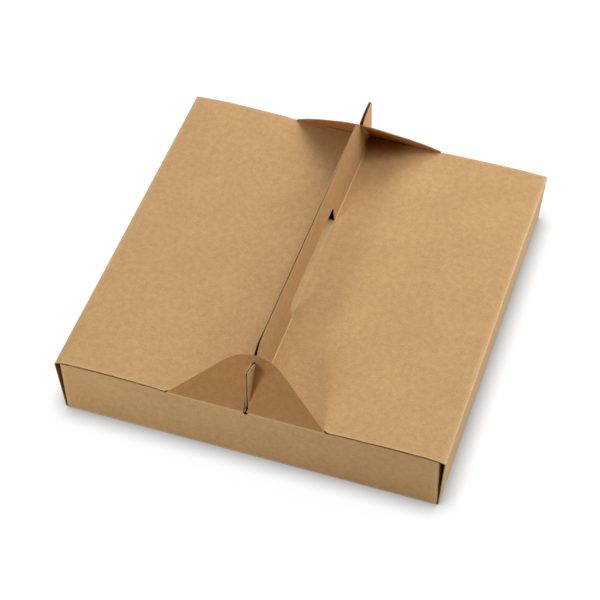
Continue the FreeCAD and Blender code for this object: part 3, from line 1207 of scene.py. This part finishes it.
@dataclass
class LockFlap:
    """Triangular flap with a slit, which turns on its crease and is slotted over the ears."""

    blank: Blank
    dressing: Dressing
    end: End
    height: float = 38.6
    crown: float = 28.5
    bridge: float = 4.6
    bow: float = 0.62
    end_inset: float = 0.35
    painted_shade_half: float = 2.0
    bow_run: tuple[float, ...] = (0.0, 10.0, 17.0, 34.0)
    column_step: float = 2.4
    rub_and_highlight_width: float = 0.5
    top_rows: int = 4
    side_rows: int = 16
    row_power: float = 1.5

    def outline(self, x: Array) -> Array:
        """Height of the flap above its crease.

        Args:
            x: distance from the middle.

        Returns:
            A circle round the top and, where it touches it, a straight line to the crease's end.
        """
        half = self.blank.flap_half
        centre = self.height - self.crown
        swing = math.acos(self.crown / math.hypot(half, centre)) - math.atan2(centre, half)
        touch_x = self.crown * math.cos(swing)
        touch_r = centre + self.crown * math.sin(swing)
        arc = centre + np.sqrt(np.maximum(self.crown ** 2 - x ** 2, 0.0))
        line = touch_r * (half - np.abs(x)) / (half - touch_x)
        return np.where(np.abs(x) < touch_x, arc, line)

    def patches(self) -> list[Patch]:
        """The flap as it stands upright: two halves beside the slit and the part above it.

        Returns:
            Patches with X across, Y through the board and Z away from the crease, all from 0.
        """
        b = self.blank
        half = stops(np.append(b.slit_stations(), b.flap_half - self.end_inset), self.column_step)
        x = np.concatenate([-half[:0:-1], half])
        top = self.outline(x)
        straight = self.height - self.bridge - b.slit_radius
        share = straight / float(self.outline(np.array([b.slit_radius]))[0])
        middle = np.where(np.abs(x) < b.slit_radius, straight + b.slit_end(x), share * top)
        result = [self.upright(x, middle, top, self.top_rows)]
        for chosen in (x <= -b.slit_radius, x >= b.slit_radius):
            foot = np.zeros(chosen.sum())
            result.append(self.upright(x[chosen], foot, middle[chosen], self.side_rows))
        return result

    def upright(self, x: Array, low: Array, high: Array, cells: int) -> Patch:
        """Builds a flat patch between two heights given at each X, its rows closer at the crease.

        Args:
            x: places along the crease.
            low: lower height at each.
            high: upper height at each.
            cells: number of rows.

        Returns:
            The patch.
        """
        z = between(low, high, np.linspace(0.0, 1.0, cells + 1) ** self.row_power)
        x_grid = spread(x, cells + 1)
        flat = np.stack([x_grid, -self.blank.half_depth - self.blank.height - z], -1)
        # Paler along the crease: worn fibres and painted highlight.
        return Patch(np.stack([x_grid, np.zeros_like(z), z], -1), flat, 0.95 * bell(z, self.rub_and_highlight_width))

    def build(self) -> bpy.types.Object:
        """Makes the flap, leaned inwards on its crease as it is closed. The rear one is bowed.

        Returns:
            The piece.
        """
        b = self.blank
        cosine = math.cos(b.flap_lean)
        sine = math.sin(b.flap_lean)
        rear = self.end is End.REAR
        patches = self.patches()
        for patch in patches:
            across, through, away = np.moveaxis(patch.points, -1, 0)
            if rear:
                through = through - self.bow * hill(away, *self.bow_run)
            y = -b.hinge_y + through * cosine + away * sine
            z = b.lid_mid - through * sine + away * cosine
            patch.points = np.stack([across, y, z], -1)
        if rear:
            patches = [patch.turned() for patch in patches]
        name = f"{self.end.name.lower()}_lock_flap"
        # The slit's cut edges, and the rear flap's whole inside, take the third finish, painted shade.
        piece = Board(f"{name}_sheet", b.card, patches,
                      painted_shade=lambda middle: np.abs(middle[:, 0]) < self.painted_shade_half, shaded_inside=rear).mesh()
        self.dressing.put_on(piece, name)
        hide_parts(name)
        return piece


@dataclass(frozen=True)
class Viewpoint:
    """Where the box is seen from: angles in degrees, lengths in metres."""

    azimuth: float = 20.17
    elevation: float = 49.85
    roll: float = -1.88
    distance: float = 1.2955
    target: Triple = (-0.0095, 0.0032, 0.0015)
    lens: float = 112.9

    def build(self) -> bpy.types.Object:
        """Places the camera and makes it the scene's own.

        Returns:
            The camera.
        """
        azimuth = math.radians(self.azimuth)
        elevation = math.radians(self.elevation)
        back = Vector((math.sin(azimuth) * math.cos(elevation), -math.cos(azimuth) * math.cos(elevation),
                       math.sin(elevation)))
        right = (-back).cross(Vector((0.0, 0.0, 1.0))).normalized()
        up = right.cross(-back)
        turn = math.radians(self.roll)
        across = right * math.cos(turn) + up * math.sin(turn)
        upward = up * math.cos(turn) - right * math.sin(turn)
        data = bpy.data.cameras.new("camera")
        data.lens = self.lens
        data.sensor_width = 36.0
        data.sensor_fit = "HORIZONTAL"
        data.clip_start = 0.05
        camera = bpy.data.objects.new("camera", data)
        place = Matrix.Translation(Vector(self.target) + back * self.distance)
        camera.matrix_world = place @ Matrix((across, upward, back)).transposed().to_4x4()
        bpy.context.scene.collection.objects.link(camera)
        bpy.context.scene.camera = camera
        return camera


@dataclass(frozen=True)
class Lamp:
    """A square soft light: the direction from the box to it, watts, metres."""

    name: str
    direction: Triple
    power: float
    colour: Triple = (1.0, 1.0, 1.0)
    distance: float = 1.8
    size: float = 1.1

    def build(self) -> bpy.types.Object:
        """Places the lamp, facing the box.

        Returns:
            The lamp.
        """
        data = bpy.data.lights.new(self.name, "AREA")
        data.shape = "SQUARE"
        data.size = self.size
        data.energy = self.power
        data.color = self.colour
        lamp = bpy.data.objects.new(self.name, data)
        toward = Vector(self.direction).normalized()
        turn = toward.to_track_quat("Z", "Y").to_matrix().to_4x4()
        lamp.matrix_world = Matrix.Translation(toward * self.distance) @ turn
        bpy.context.scene.collection.objects.link(lamp)
        return lamp


@dataclass(frozen=True)
class Studio:
    """White floor, even light from all round and a few soft lamps."""

    sky: float = 0.01
    floor_half: float = 4.0
    floor_grey: float = 0.82
    shaded_grey: float = 0.14
    glow: float = 0.37
    shadow_depth: float = 1.1
    shadow_reach: float = 0.0145
    shadow_rays: int = 16
    lamps: tuple[Lamp, ...] = (
        Lamp("rear_light", (0.0, 0.8, 0.6), 19.0, (0.99, 1.0, 1.03)),
        Lamp("rear_right_light", (0.5, 0.6, 0.6), 1.9),
        Lamp("right_light", (0.78, 0.3, 0.55), 10.4),
        Lamp("left_light", (-0.8, 0.1, 0.6), 2.2),
        Lamp("top_light", (0.0, 0.0, 1.0), 2.6),
        Lamp("high_light", (0.35, 0.35, 0.87), 7.4, (1.0, 0.95, 0.86)),
        Lamp("key_light", (-0.42, -0.74, 0.53), 6.4, distance=1.5, size=0.25),
        Lamp("front_light", (-0.4, -0.9, 0.15), 0.48, distance=0.6, size=0.3),
    )

    def floor(self) -> bpy.types.Object:
        """Lays the floor: white to the camera, with a contact shadow that ambient occlusion paints
        into its glow, and part of the shadow that the lamps cast on it.

        Returns:
            The floor.
        """
        half = self.floor_half
        mesh = bpy.data.meshes.new("floor")
        corners = [(-half, -half, 0.0), (half, -half, 0.0), (half, half, 0.0), (-half, half, 0.0)]
        mesh.from_pydata(corners, [], [(0, 1, 2, 3)])
        piece = bpy.data.objects.new("floor", mesh)
        bpy.context.scene.collection.objects.link(piece)
        material, tree = NodeBench.start("white_floor")
        tree.nodes.clear()
        matt, shaded = (tree.add("BsdfDiffuse", {"Color": (grey, grey, grey, 1.0)})
                        for grey in (self.floor_grey, self.shaded_grey))
        reach = {"Distance": self.shadow_reach}
        open_sky = tree.add("AmbientOcclusion", reach, "AO", samples=self.shadow_rays)
        glow = tree.add("Emission", {"Strength": tree.sum(self.glow, [(open_sky, self.shadow_depth)])})
        seen = tree.add("AddShader", {0: shaded, 1: glow})
        to_camera = tree.add("LightPath", {}, "Is Camera Ray")
        surface = tree.add("MixShader", {0: to_camera, 1: matt, 2: seen})
        tree.fill(tree.nodes.new("ShaderNodeOutputMaterial"), {"Surface": surface})
        mesh.materials.append(material)
        return piece

    def build(self) -> None:
        """Lights the scene and lays the floor."""
        scene = bpy.context.scene
        scene.view_settings.view_transform = "Standard"
        world = bpy.data.worlds.new("studio")
        world.use_nodes = True
        scene.world = world
        background = world.node_tree.nodes["Background"]
        background.inputs["Color"].default_value = (1.0, 1.0, 1.0, 1.0)
        background.inputs["Strength"].default_value = self.sky
        for lamp in self.lamps:
            lamp.build()
        self.floor()


def main() -> None:
    """Builds the camera, the studio and every piece of the box."""
    logging.basicConfig(level=logging.INFO, format="%(name)s: %(message)s")
    Viewpoint().build()
    Studio().build()
    blank = Blank()
    edge = CutEdge().material()
    # Darker cut edges, painted shade: on the flaps and handle panels, in the front flap's slit, on the
    # wrap, and on the handle panels' insides and rear ears.
    plain = CutEdge("shaded_plain_edge", (0.42, 0.245, 0.10), (0.54, 0.335, 0.15)).material()
    slit_shade = CutEdge("slit_shade_edge", (0.10, 0.05, 0.018), (0.17, 0.085, 0.03)).material()
    brown = CutEdge("shaded_brown_edge", (0.32, 0.15, 0.045), (0.42, 0.22, 0.08)).material()
    panel_shade = CutEdge("shaded_panel_inside", (0.20, 0.085, 0.024), (0.31, 0.140, 0.042)).material()
    face = KraftFace().material()
    # Darker, redder copies of the kraft face, painted shade: on the lock flaps, on the inside of the
    # rear lock flap and on the inside of the wrap.
    flap_shade, rear_flap_shade, inside = (KraftFace(*finish).material() for finish in (
        ("shaded_flap", (0.375, 0.181, 0.054), (0.57, 0.300, 0.104), (0.24, 0.11, 0.035)),
        ("rear_shaded_flap", (0.46, 0.204, 0.059), (0.70, 0.338, 0.113), (0.24, 0.11, 0.035)),
        ("shaded_inner_face", (0.22, 0.115, 0.042), (0.34, 0.19, 0.075), (0.14, 0.07, 0.025)),
    ))
    board = Dressing(face, edge)
    flap_boards = {End.FRONT: Dressing(flap_shade, plain, slit_shade), End.REAR: Dressing(flap_shade, plain, rear_flap_shade)}
    pieces = [Wrap(blank, Dressing(face, brown, inside)).build()]
    for end in End:
        pieces.append(EndWall(blank, board, end).build())
    for side in Side:
        pieces.append(HandlePanel(blank, Dressing(face, plain, panel_shade), side).build())
        pieces.append(Tongue(blank, board, side).build())
    for end in End:
        pieces.append(LockFlap(blank, flap_boards[end], end).build())
    log.info("%d pieces in all", len(pieces))


if __name__ == "__main__":
    main()
